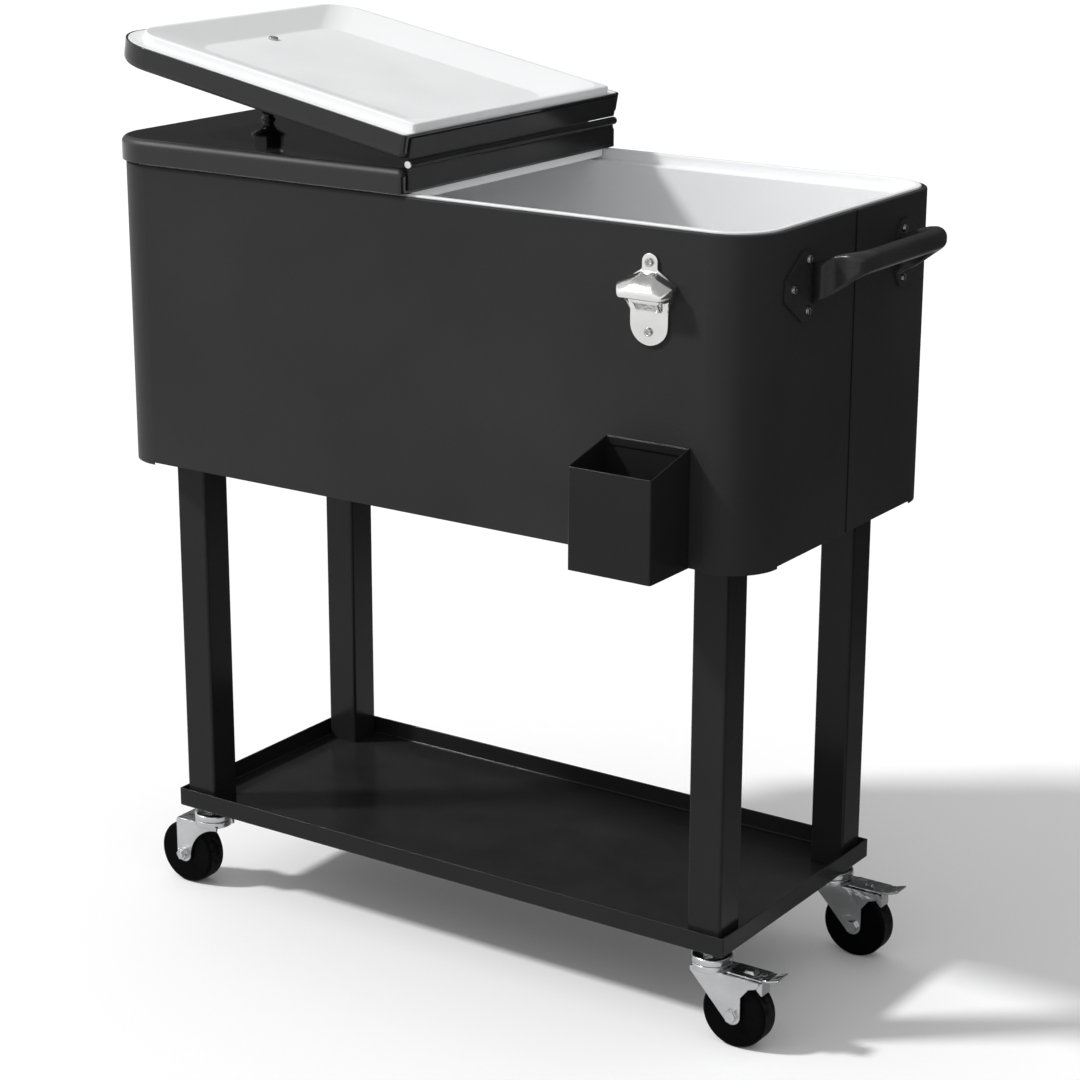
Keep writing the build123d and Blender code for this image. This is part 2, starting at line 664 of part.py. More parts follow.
# Casters. The right-hand pair trails to +X and has brake pedals, the left-hand pair trails to -X.
half_inside = wheel_width / 2 + fork_side_gap
half_outside = half_inside + fork_sheet
pedal_pin_z = roof_under - 0.4
for name, sx, sy in (("front_left", -1, -1), ("front_right", 1, -1), ("rear_left", -1, 1), ("rear_right", 1, 1)):
    braked = sx > 0
    at = Plane(origin=(cx + sx * leg_x, cy + sy * leg_y, 0), x_dir=(sx, 0, 0), z_dir=(0, 0, 1))

    def sideways(v):
        """Upright plane of the caster at v across it; x is the trail, y is height."""
        return Plane(origin=at.from_local_coords((0, v, 0)), x_dir=at.x_dir, z_dir=-at.y_dir)

    # stem with the upper ball race, fixed to the leg through the tray
    with BuildPart() as stem:
        with BuildSketch(at.offset(race_bottom)):
            Circle(race_radius)
        extrude(amount=race_height)
        fillet(stem.faces().sort_by(Axis.Z)[-1].edges(), 3.0)
        with BuildSketch(at.offset(race_top)):
            RegularPolygon(collar_radius, 6)
        extrude(amount=collar_height)
        with BuildSketch(at.offset(tray_z)):
            Circle(stud_radius)
        extrude(amount=tray_sheet + leg_foot + 4.0)
        with BuildSketch(at.offset(race_bottom)):
            Circle(king_radius)
        extrude(amount=roof_under - king_clear - king_head - race_bottom)
        with BuildSketch(at.offset(roof_under - king_clear)):
            Circle(king_head_radius)
        extrude(amount=-king_head)
    stem.part.label = "caster_stem_" + name
    export_step(stem.part, "parts/caster_stem_" + name + ".step")

    # fork: round crown, roof and two cheeks
    cheek_front = -0.8 * crown_radius
    with BuildPart() as fork:
        with BuildSketch(at.offset(roof_under)):
            Circle(crown_radius)
        extrude(amount=crown_height)
        fillet(fork.faces().sort_by(Axis.Z)[-1].edges(), 2.0)
        roof_end = pedal_start - 1.5 if braked else caster_trail + boss_radius - 1.5
        with BuildSketch(at.offset(roof_under)):
            with Locations(((cheek_front + roof_end) / 2, 0)):
                Rectangle(roof_end - cheek_front, 2 * half_outside)
        extrude(amount=fork_sheet)
        for v in (-half_inside, half_outside):
            with BuildSketch(sideways(v)):
                with BuildLine():
                    if braked:
                        Polyline(
                            (cheek_front, roof_top),
                            (cheek_front, roof_top - 5.0),
                            (caster_trail - 0.82 * boss_radius, wheel_radius - 0.57 * boss_radius),
                            (caster_trail, wheel_radius),
                            (caster_trail + boss_radius, wheel_radius),
                            (caster_trail + boss_radius, wheel_radius + 0.6 * wheel_radius),
                            (caster_trail + 1.9 * boss_radius, roof_top - 10.0),
                            (fork_reach - 3.0, roof_top - 7.0),
                            (fork_reach, roof_top - 3.0),
                            (fork_reach, roof_top),
                            close=True,
                        )
                    else:
                        Polyline(
                            (cheek_front, roof_top - 5.0),
                            (cheek_front, roof_top),
                            (roof_end, roof_top),
                            (caster_trail + boss_radius, roof_top - 3.0),
                            (caster_trail + boss_radius, wheel_radius),
                            (caster_trail, wheel_radius),
                            (caster_trail - boss_radius, wheel_radius + 2.0),
                        )
                        ThreePointArc(
                            (caster_trail - boss_radius, wheel_radius + 2.0),
                            (0.35 * caster_trail, wheel_radius + 0.68 * wheel_radius),
                            (cheek_front, roof_top - 5.0),
                        )
                make_face()
                with Locations((caster_trail, wheel_radius)):
                    Circle(boss_radius)
                    Circle(axle_radius + 0.05, mode=Mode.SUBTRACT)
            extrude(amount=fork_sheet)
        with BuildSketch(at.offset(roof_under)):
            Circle(king_radius + run_clearance)
        extrude(amount=crown_height, mode=Mode.SUBTRACT)
        if braked:
            with BuildSketch(sideways(half_outside)):
                with Locations((pedal_pivot, pedal_pin_z)):
                    Circle(pedal_pin_radius)
            extrude(amount=2 * half_outside)
    fork.part.label = "caster_fork_" + name
    export_step(fork.part, "parts/caster_fork_" + name + ".step")

    # axle bolt with a hexagon head on one side and a nut on the other
    with BuildPart() as axle:
        with BuildSketch(sideways(half_outside + 7.5)):
            with Locations((caster_trail, wheel_radius)):
                Circle(axle_radius)
        extrude(amount=2 * half_outside + 7.5)
        with BuildSketch(sideways(-half_outside)):
            with Locations((caster_trail, wheel_radius)):
                RegularPolygon(1.8 * axle_radius, 6)
        extrude(amount=4.5)
        with BuildSketch(sideways(half_outside)):
            with Locations((caster_trail, wheel_radius)):
                RegularPolygon(1.8 * axle_radius, 6)
                Circle(axle_radius + 0.03, mode=Mode.SUBTRACT)
        extrude(amount=-5.5)
    axle.part.label = "caster_axle_" + name
    export_step(axle.part, "parts/caster_axle_" + name + ".step")

    # solid wheel with a round-edged tread and a raised hub on each side
    with BuildPart() as wheel:
        with BuildSketch(sideways(wheel_width / 2)):
            with Locations((caster_trail, wheel_radius)):
                Circle(wheel_radius)
        extrude(amount=wheel_width)
        fillet(wheel.edges(), wheel_round)
        with BuildSketch(sideways(half_inside - 0.4)):
            with Locations((caster_trail, wheel_radius)):
                Circle(2.2 * axle_radius)
        extrude(amount=2 * half_inside - 0.8)
        with BuildSketch(sideways(half_inside)):
            with Locations((caster_trail, wheel_radius)):
                Circle(axle_radius + run_clearance)
        extrude(amount=2 * half_inside, mode=Mode.SUBTRACT)
    wheel.part.label = "wheel_" + name
    export_step(wheel.part, "parts/wheel_" + name + ".step")

    if braked:
        # brake pedal: a plate on two ears, an upturned toe tab and a pad over the tread
        pedal_z = roof_top + 0.3
        pedal_half = half_inside - pedal_side_gap
        with BuildPart() as pedal:
            with BuildSketch(sideways(pedal_half)):
                with BuildLine():
                    Polyline(
                        (pedal_start, pedal_z),
                        (fork_reach + 1.0, pedal_z),
                        (fork_reach + 9.0, pedal_z + 1.0),
                        (pedal_tip, pedal_z + 4.6),
                        (pedal_tip, pedal_z + 4.6 + pedal_plate),
                        (fork_reach + 8.0, pedal_z + 1.0 + pedal_plate),
                        (fork_reach, pedal_z + pedal_plate),
                        (pedal_start, pedal_z + pedal_plate),
                        close=True,
                    )
                make_face()
            extrude(amount=2 * pedal_half)
            with BuildSketch(at.offset(pedal_z - 1)):
                for s in (1, -1):
                    with Locations((pedal_tip, s * pedal_half)):
                        Rectangle(2 * (pedal_tip - fork_reach - 1.5), 4.0)
            extrude(amount=12.0, mode=Mode.SUBTRACT)
            with BuildSketch(at.offset(pedal_z + pedal_plate)):
                with Locations((pedal_pivot - 3.0, 0)):
                    Rectangle(13.0, 12.0)
            extrude(amount=3.0, taper=35)
            for v in (pedal_half, 2.5 - pedal_half):
                with BuildSketch(sideways(v)):
                    with Locations((pedal_pivot, (pedal_pin_z + pedal_z) / 2)):
                        Rectangle(9.0, pedal_z - pedal_pin_z + 0.02)
                    with Locations((pedal_pivot, pedal_pin_z)):
                        Circle(4.5)
                        Circle(pedal_pin_radius + run_clearance, mode=Mode.SUBTRACT)
                extrude(amount=2.5)
            with BuildSketch(sideways(8.0)):
                with Locations((pedal_pivot + 11.0, pedal_z - 9.0)):
                    Rectangle(7.0, 18.02)
                with Locations((caster_trail, wheel_radius)):
                    Circle(wheel_radius + pad_clearance, mode=Mode.SUBTRACT)
            extrude(amount=16.0)
        pedal.part.label = "brake_pedal_" + name
        export_step(pedal.part, "parts/brake_pedal_" + name + ".step")

# Pull handle: one tube with flattened, bent ends, welded to two eight-cornered plates
arm = [
    (plate_thick, strap_y, 0.0, strap_thick, strap_height, 0.0),
    (0.40 * bar_reach, strap_y, 0.36 * bar_rise, strap_thick + 1.0, 0.90 * strap_height, 4.0),
    (0.72 * bar_reach, strap_y - 2.0, 0.72 * bar_rise, strap_thick + 5.0, 0.74 * strap_height, 20.0),
    (0.91 * bar_reach, strap_y - 8.0, 0.93 * bar_rise, 1.80 * tube_radius, 2.25 * tube_radius, 48.0),
    (bar_reach - 0.7, bar_half + 6.0, bar_rise, 1.96 * tube_radius, 2.04 * tube_radius, 80.0),
    (bar_reach, bar_half, bar_rise, 2.0 * tube_radius, 2.0 * tube_radius, 90.0),
]
with BuildPart() as handle_bar:
    for out, v, rise, thick, height, turn in arm:
        t = math.radians(turn)
        section = Plane(
            origin=(end_x + out, cy + v, handle_z + rise),
            x_dir=(math.sin(t), math.cos(t), 0),
            z_dir=(math.cos(t), -math.sin(t), 0),
        )
        with BuildSketch(section):
            RectangleRounded(thick, height, 0.49 * thick)
    loft()
    with BuildSketch(section):
        RectangleRounded(thick, height, 0.49 * thick)
    extrude(amount=bar_half)
    mirror(about=Plane(origin=(cx, cy, 0), x_dir=(1, 0, 0), z_dir=(0, 1, 0)))
handle_bar.part.label = "handle_bar"
export_step(handle_bar.part, "parts/handle_bar.step")

for name, s in (("front", -1), ("rear", 1)):
    with BuildPart() as handle_plate:
        with BuildSketch(end_plane):
            half = [
                (plate_inner, 0.6 * plate_half_height),
                (plate_inner + 9.0, plate_half_height),
                (plate_inner + 25.0, plate_half_height),
                (plate_outer, plate_outer_half),
            ]
            outline = half + [(y, -z) for y, z in reversed(half)]
            with BuildLine():
                Polyline(*[(s * y, handle_z + z) for y, z in outline], close=True)
            make_face()
            with Locations(*[(s * y, handle_z + z) for y, z in plate_screws]):
                Circle(screw_radius + fit_gap, mode=Mode.SUBTRACT)
        extrude(amount=plate_thick)
    handle_plate.part.label = "handle_plate_" + name
    export_step(handle_plate.part, "parts/handle_plate_" + name + ".step")


def pan_screws(planes, stack):
    """Cross-head screws standing on the given planes, each with its shank reaching in."""
    with BuildPart() as screws:
        for at_screw in planes:
            with BuildSketch(at_screw.offset(stack)):
                Circle(screw_head_radius)
            extrude(amount=screw_head, taper=14)
            with BuildSketch(at_screw.offset(stack)):
                Circle(screw_radius)
            extrude(amount=-screw_length)
            with BuildSketch(at_screw.offset(stack + screw_head)):
                Rectangle(0.9, 1.1 * screw_head_radius)
                Rectangle(1.1 * screw_head_radius, 0.9)
            extrude(amount=-1.2, mode=Mode.SUBTRACT)
    return screws.part


def moved(plane, x, y):
    """The same plane with its origin at a point of the plane."""
    return Plane(origin=plane.from_local_coords((x, y, 0)), x_dir=plane.x_dir, z_dir=plane.z_dir)


handle_screws = pan_screws([moved(end_plane, s * y, handle_z + z) for s in (1, -1) for y, z in plate_screws], plate_thick)
handle_screws.label = "handle_screws"
export_step(handle_screws, "parts/handle_screws.step")

opener_screws = pan_screws([moved(front_plane, x, z) for x, z in opener_screws_at], opener_plate)
opener_screws.label = "opener_screws"
export_step(opener_screws, "parts/opener_screws.step")

hook_stack = catcher_gap + catcher_sheet + 0.3
catcher_screws = pan_screws([moved(front_plane, x, z) for x, z in hook_screws_at], hook_stack)
catcher_screws.label = "catcher_screws"
export_step(catcher_screws, "parts/catcher_screws.step")

# Bottle opener: a plate with a tab, a hood with side walls that run down to the plate, and a tongue
hood_low = opener_z + hood_foot
hood_rows = [
    (opener_plate, opener_tab, hood_wing, hood_top, hood_side, 0.0, opener_lower, opener_neck),
    (0.5 * opener_depth, 1.1 * opener_tab, 0.97 * hood_wing, 0.76 * hood_top, 0.9 * hood_side, 0.1 * hood_drop,
     0.5 * (opener_lower + hood_lip), 0.5 * (opener_neck + hood_drop)),
    (opener_depth, 0.6 * hood_lip, hood_lip, hood_lip_height - hood_drop, 0.7 * hood_lip_height - hood_drop,
     0.6 * hood_drop, hood_lip - 0.3, hood_drop),
]


def hood(shrink, lower):
    """The hood's eight-sided cross-sections, joined smoothly from the plate out to the front lip."""
    with BuildPart() as block:
        for depth, ridge, span, high, side, foot, neck, low in hood_rows:
            shape = [(ridge - 0.6 * shrink, high - shrink), (span - shrink, side - shrink)]
            shape += [(span - shrink, -foot - shrink), (neck - shrink, -low - lower)]
            shape += [(-x, z) for x, z in reversed(shape)]
            with BuildSketch(front_plane.offset(depth - (shrink if depth == opener_depth else 0.0))):
                with BuildLine():
                    Polyline(*[(opener_x + x, hood_low + z) for x, z in shape], close=True)
                make_face()
        loft()
    return block.part


hood_outside = hood(0.0, 0.0)
hood_hollow = hood(hood_wall, 2 * hood_wall)
with BuildPart() as opener:
    add(hood_outside)
    add(hood_hollow, mode=Mode.SUBTRACT)
    with BuildSketch(front_plane):
        with Locations((opener_x, opener_z + opener_span / 2)):
            Circle(opener_tab)
        with Locations((opener_x, opener_z + opener_span / 4)):
            Rectangle(2 * opener_tab, opener_span / 2)
        with Locations((opener_x, opener_z - opener_span / 2 + 0.36 * opener_lower)):
            Circle(opener_lower)
        with Locations((opener_x, opener_z - 0.17 * opener_span)):
            Rectangle(2 * opener_lower, 0.42 * opener_span)
        with BuildLine():
            Polyline(
                (opener_x - opener_tab, opener_z + 0.40 * opener_span),
                (opener_x - hood_wing, hood_low + hood_side),
                (opener_x - hood_wing, hood_low),
                (opener_x - opener_lower, hood_low - opener_neck),
                (opener_x + opener_lower, hood_low - opener_neck),
                (opener_x + hood_wing, hood_low),
                (opener_x + hood_wing, hood_low + hood_side),
                (opener_x + opener_tab, opener_z + 0.40 * opener_span),
                close=True,
            )
        make_face()
        with Locations(*opener_screws_at):
            Circle(screw_radius + fit_gap, mode=Mode.SUBTRACT)
    extrude(amount=opener_plate)
    with BuildSketch(Plane(origin=(opener_x - tongue_width / 2, front_y, hood_low), x_dir=(0, 1, 0), z_dir=(1, 0, 0))):
        with BuildLine():
            Polyline(
                (-0.5 * opener_plate, -0.3 * tongue_drop),
                (-opener_plate - tongue_reach, -0.8 * tongue_drop),
                (-opener_plate - tongue_reach, -1.1 * tongue_drop),
                (-opener_plate, -2.4 * tongue_drop),
                (-0.5 * opener_plate, -2.4 * tongue_drop),
                close=True,
            )
        make_face()
    extrude(amount=tongue_width)
opener.part.label = "bottle_opener"
export_step(opener.part, "parts/bottle_opener.step")

# Cap catcher: a folded box with a slanted open top and keyholes in its back
catcher_side = Plane(origin=(opener_x, catcher_back, body_z), x_dir=(0, 1, 0), z_dir=(1, 0, 0))
inside = catcher_depth - catcher_sheet
with BuildPart() as catcher:
    with BuildSketch(catcher_side.offset(-catcher_width / 2)):
        with BuildLine():
            Polyline((0, 0), (0, catcher_rear), (-catcher_depth, catcher_front), (-catcher_depth, 0), close=True)
        make_face()
    extrude(amount=catcher_width)
    fillet(catcher.edges().filter_by(Axis.Z).group_by(Axis.Y)[0], catcher_corner)
    with BuildSketch(catcher_side.offset(catcher_sheet - catcher_width / 2)):
        with BuildLine():
            Polyline(
                (-catcher_sheet, catcher_sheet),
                (-catcher_sheet, 2 * catcher_rear),
                (-inside, 2 * catcher_rear),
                (-inside, catcher_sheet),
                close=True,
            )
        make_face()
    extrude(amount=catcher_width - 2 * catcher_sheet, mode=Mode.SUBTRACT)
    with BuildSketch(catcher_side.offset(catcher_sheet - catcher_width / 2)):
        with Locations((-1.5 * catcher_sheet, catcher_rear - 0.5 * catcher_hem - 1.0)):
            Rectangle(1.02 * catcher_sheet, catcher_hem)
    extrude(amount=catcher_width - 2 * catcher_sheet)
    with BuildSketch(front_plane):
        for x, z in hook_screws_at:
            with Locations((x, z - hook_drop)):
                Circle(screw_head_radius + 2 * hook_clearance)
            with Locations((x, z - hook_drop / 2)):
                Rectangle(2 * (screw_radius + hook_clearance), hook_drop)
            with Locations((x, z)):
                Circle(screw_radius + hook_clearance)
    extrude(amount=catcher_gap + 1.5 * catcher_sheet, mode=Mode.SUBTRACT)
catcher.part.label = "cap_catcher"
export_step(catcher.part, "parts/cap_catcher.step")

# Drain through the middle of the floor
drain_end = body_z - drain_length
with BuildPart() as drain_gasket:
    with BuildSketch(level(floor_z)):
        Circle(drain_flange - 1)
        Circle(drain_radius + fit_gap, mode=Mode.SUBTRACT)
    extrude(amount=gasket)
drain_gasket.part.label = "drain_gasket"
export_step(drain_gasket.part, "parts/drain_gasket.step")

with BuildPart() as drain_spout:
    with BuildSketch(level(floor_z + gasket)):
        Circle(drain_flange)
    extrude(amount=2.5)
    fillet(drain_spout.faces().sort_by(Axis.Z)[-1].edges(), 1.2)
    with BuildSketch(level(drain_end)):
        Circle(drain_radius)
    extrude(amount=floor_z + gasket - drain_end)
    with BuildSketch(level(drain_end)):
        Circle(drain_bore)
    extrude(amount=2 * floor_height + drain_length, mode=Mode.SUBTRACT)
drain_spout.part.label = "drain_spout"
export_step(drain_spout.part, "parts/drain_spout.step")

with BuildPart() as drain_nut:
    with BuildSketch(level(base_z)):
        RegularPolygon(1.6 * drain_radius, 6)
        Circle(drain_radius + fit_gap, mode=Mode.SUBTRACT)
    extrude(amount=-8.0)
drain_nut.part.label = "drain_nut"
export_step(drain_nut.part, "parts/drain_nut.step")

with BuildPart() as drain_cap:
    with BuildSketch(level(drain_end - 1.0 - cap_wall)):
        Circle(drain_radius + cap_wall)
        with PolarLocations(drain_radius + cap_wall, 12):
            Circle(1.2, mode=Mode.SUBTRACT)
    extrude(amount=cap_length)
    with BuildSketch(level(drain_end - 1.0)):
        Circle(drain_radius + run_clearance)
    extrude(amount=cap_length, mode=Mode.SUBTRACT)
drain_cap.part.label = "drain_cap"
export_step(drain_cap.part, "parts/drain_cap.step")
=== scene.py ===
# %% [markdown]
# # A wheeled patio cooler
# The cooler's solids come from CAD and stand here as a fixed frame: a sheet-steel body on four
# legs, two folding lids, a pull handle, a bottle opener, a cap catcher and a shelf on casters.
# This lesson gives them paint, plastic, rubber and plating, remakes the opener with the rounded
# creases of a casting, and then adds a floor, light and a camera.

# %% Load the frame
import json
import math
import bpy
from mathutils import Matrix, Vector


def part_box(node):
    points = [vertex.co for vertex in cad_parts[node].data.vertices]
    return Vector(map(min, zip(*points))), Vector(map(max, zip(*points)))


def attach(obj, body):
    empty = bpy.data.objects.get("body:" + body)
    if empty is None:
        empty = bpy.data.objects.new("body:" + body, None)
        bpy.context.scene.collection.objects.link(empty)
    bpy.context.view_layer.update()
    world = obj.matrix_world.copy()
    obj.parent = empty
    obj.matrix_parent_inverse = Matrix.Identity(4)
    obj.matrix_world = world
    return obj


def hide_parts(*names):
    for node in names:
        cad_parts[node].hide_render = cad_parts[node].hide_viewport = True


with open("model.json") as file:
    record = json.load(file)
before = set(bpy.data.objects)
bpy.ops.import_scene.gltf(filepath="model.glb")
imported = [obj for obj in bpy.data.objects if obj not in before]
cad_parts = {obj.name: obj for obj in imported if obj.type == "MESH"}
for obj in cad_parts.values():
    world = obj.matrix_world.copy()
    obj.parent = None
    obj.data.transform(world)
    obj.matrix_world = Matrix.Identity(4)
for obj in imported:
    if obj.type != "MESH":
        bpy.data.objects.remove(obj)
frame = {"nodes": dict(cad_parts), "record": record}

bpy.ops.object.select_all(action="DESELECT")
for leftover in ("Cube", "Light", "Camera"):
    if leftover in bpy.data.objects:
        bpy.data.objects.remove(bpy.data.objects[leftover])
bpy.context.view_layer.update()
print("pieces from CAD:", len(frame["nodes"]))

# %% [markdown]
# ## Helpers for shader nodes
# Nodes can be placed and wired by hand in the Shader Editor. In a script the same three moves
# come back again and again: add a node, join two sockets, mix two colours by a mask. Short
# helpers for them keep the finishes below readable.

# %% Node helpers
MIX_FACTOR, MIX_FIRST, MIX_SECOND, MIX_RESULT = 0, 6, 7, 2  # colour sockets of the Mix node
FLOAT, VECTOR = "NodeSocketFloat", "NodeSocketVector"


def add_node(tree, kind, **settings):
    made = tree.nodes.new(kind)
    for name, value in settings.items():
        setattr(made, name, value)
    return made


def feed(tree, value, socket):
    if isinstance(value, bpy.types.NodeSocket):
        tree.links.new(value, socket)
    else:
        socket.default_value = value


def maths(tree, operation, first, second=0.0):
    made = add_node(tree, "ShaderNodeMath", operation=operation)
    feed(tree, first, made.inputs[0])
    feed(tree, second, made.inputs[1])
    return made.outputs[0]


def spread(tree, value, low, high, to_low, to_high):
    made = add_node(tree, "ShaderNodeMapRange")
    for place, given in enumerate((value, low, high, to_low, to_high)):
        feed(tree, given, made.inputs[place])
    return made.outputs[0]


def blend_colours(tree, mask, first, second):
    made = add_node(tree, "ShaderNodeMix", data_type="RGBA")
    feed(tree, mask, made.inputs[MIX_FACTOR])
    feed(tree, first, made.inputs[MIX_FIRST])
    feed(tree, second, made.inputs[MIX_SECOND])
    return made.outputs[MIX_RESULT]


def opaque(tone):
    return (*tone, 1.0)


def grey(level):
    return opaque((level, level, level))


print("node helpers ready")

# %% [markdown]
# ## Helpers for node groups
# A pattern that several finishes share is built once, as a node group with its own inputs and
# outputs. Each finish then uses the group as one node and sets the inputs to its own values.

# %% Group helpers
def new_group(name, inputs, outputs):
    tree = bpy.data.node_groups.new(name, "ShaderNodeTree")
    for title, kind, value in inputs:
        socket = tree.interface.new_socket(title, in_out="INPUT", socket_type=kind)
        socket.default_value = value
    for title, kind in outputs:
        tree.interface.new_socket(title, in_out="OUTPUT", socket_type=kind)
    return tree, add_node(tree, "NodeGroupInput"), add_node(tree, "NodeGroupOutput")


def use_group(tree, group, **values):
    made = add_node(tree, "ShaderNodeGroup", node_tree=group)
    for name, value in values.items():
        feed(tree, value, made.inputs[name])
    return made


print("group helpers ready")

# %% [markdown]
# ## Soft edges and worn edges
# No folded sheet or moulding has a perfectly sharp edge. It catches a thin line of light, and
# paint rubs thin there first. The CAD edges are sharp, and bevelling every mesh would change the
# frame, so the Bevel node rounds only the shading. Where its normal leaves the surface's own one,
# an edge is near, and that difference is the mask for wear.

# %% Group: soft edge
bevel_samples = 6
flat_agreement, edge_agreement = 0.995, 0.86
soft_edge, taken, given = new_group(
    "soft edge", [("Radius", FLOAT, 0.001)], [("Normal", VECTOR), ("Edge", FLOAT)]
)
rounding = add_node(soft_edge, "ShaderNodeBevel", samples=bevel_samples)
soft_edge.links.new(taken.outputs["Radius"], rounding.inputs["Radius"])
surface = add_node(soft_edge, "ShaderNodeNewGeometry")
agree = add_node(soft_edge, "ShaderNodeVectorMath", operation="DOT_PRODUCT")
soft_edge.links.new(rounding.outputs[0], agree.inputs[0])
soft_edge.links.new(surface.outputs["Normal"], agree.inputs[1])
near_edge = spread(soft_edge, agree.outputs["Value"], flat_agreement, edge_agreement, 0.0, 1.0)
soft_edge.links.new(rounding.outputs[0], given.inputs["Normal"])
soft_edge.links.new(near_edge, given.inputs["Edge"])
print("group:", soft_edge.name)

# %% [markdown]
# ## Clouds, grain, brushing and dust
# Sprayed paint, moulded plastic and plating all vary a little: slow clouds in tone and gloss, and
# a fine grain in height. Brushing is the same noise stretched along one direction. Dust settles
# on what faces up. Each is one group, read in Object coordinates so that a pattern stays put on
# its piece. A noise seldom reaches 0 or 1, so a Map Range node widens its middle part.

# %% Group: clouds
cloud_thin, cloud_thick = 0.32, 0.68
clouds, taken, given = new_group(
    "clouds",
    [("Scale", FLOAT, 6.0), ("Low", FLOAT, 0.0), ("High", FLOAT, 1.0)],
    [("Value", FLOAT)],
)
where = add_node(clouds, "ShaderNodeTexCoord")
drift = add_node(clouds, "ShaderNodeTexNoise")
drift.inputs["Detail"].default_value = 4.0
clouds.links.new(where.outputs["Object"], drift.inputs["Vector"])
clouds.links.new(taken.outputs["Scale"], drift.inputs["Scale"])
drifting = spread(
    clouds, drift.outputs["Fac"], cloud_thin, cloud_thick,
    taken.outputs["Low"], taken.outputs["High"],
)
clouds.links.new(drifting, given.inputs["Value"])
print("group:", clouds.name)

# %% Group: grain
coarse_scale, coarse_weight = 0.31, 0.8
grain, taken, given = new_group("grain", [("Scale", FLOAT, 900.0)], [("Height", FLOAT)])
where = add_node(grain, "ShaderNodeTexCoord")
fine = add_node(grain, "ShaderNodeTexNoise")
fine.inputs["Detail"].default_value = 2.0
coarse = add_node(grain, "ShaderNodeTexNoise")
for noise, share in ((fine, 1.0), (coarse, coarse_scale)):
    scaled = maths(grain, "MULTIPLY", taken.outputs["Scale"], share)
    grain.links.new(where.outputs["Object"], noise.inputs["Vector"])
    grain.links.new(scaled, noise.inputs["Scale"])
swell = maths(grain, "MULTIPLY", coarse.outputs["Fac"], coarse_weight)
grain.links.new(maths(grain, "ADD", fine.outputs["Fac"], swell), given.inputs["Height"])
print("group:", grain.name)

# %% Group: brushing
stroke_low, stroke_high = 0.3, 0.7
brushing, taken, given = new_group(
    "brushing", [("Stretch", VECTOR, (40.0, 1500.0, 1500.0))], [("Value", FLOAT)]
)
where = add_node(brushing, "ShaderNodeTexCoord")
squeeze = add_node(brushing, "ShaderNodeMapping")
strokes = add_node(brushing, "ShaderNodeTexNoise")
strokes.inputs["Scale"].default_value = 1.0
strokes.inputs["Detail"].default_value = 3.0
brushing.links.new(where.outputs["Object"], squeeze.inputs["Vector"])
brushing.links.new(taken.outputs["Stretch"], squeeze.inputs["Scale"])
brushing.links.new(squeeze.outputs[0], strokes.inputs["Vector"])
stroked = spread(brushing, strokes.outputs["Fac"], stroke_low, stroke_high, 0.0, 1.0)
brushing.links.new(stroked, given.inputs["Value"])
print("group:", brushing.name)

# %% Group: dust
steepest_hold, level_hold = 0.3, 1.0
bare_speck, full_speck = 0.38, 0.75
dust, taken, given = new_group(
    "dust", [("Scale", FLOAT, 14.0), ("Amount", FLOAT, 0.1)], [("Mask", FLOAT)]
)
where = add_node(dust, "ShaderNodeTexCoord")
upward = add_node(dust, "ShaderNodeSeparateXYZ")
specks = add_node(dust, "ShaderNodeTexNoise")
specks.inputs["Detail"].default_value = 8.0
specks.inputs["Roughness"].default_value = 0.7
dust.links.new(where.outputs["Normal"], upward.inputs[0])
dust.links.new(where.outputs["Object"], specks.inputs["Vector"])
dust.links.new(taken.outputs["Scale"], specks.inputs["Scale"])
lying = maths(
    dust, "MULTIPLY",
    spread(dust, upward.outputs["Z"], steepest_hold, level_hold, 0.0, 1.0),
    spread(dust, specks.outputs["Fac"], bare_speck, full_speck, 0.0, 1.0),
)
dust.links.new(maths(dust, "MULTIPLY", lying, taken.outputs["Amount"]), given.inputs["Mask"])
print("group:", dust.name)

# %% [markdown]
# ## One recipe for a coated surface
# Paint, powder coat and moulded plastic share a build-up: two close tones in slow clouds, paler
# edges where the coat is thin or rubbed, a little dust, gloss that drifts, and a grain under a
# soft edge. A function holds that recipe, and each finish calls it with its own values. Numbers
# that are the same all over, such as the specular level, are set on the shader itself.

# %% Recipe: coated surface
finishes = {}
rub_scale, rub_least = 55.0, 0.15
gloss_to_tone_scale = 2.3
dust_tone = (0.42, 0.41, 0.39)


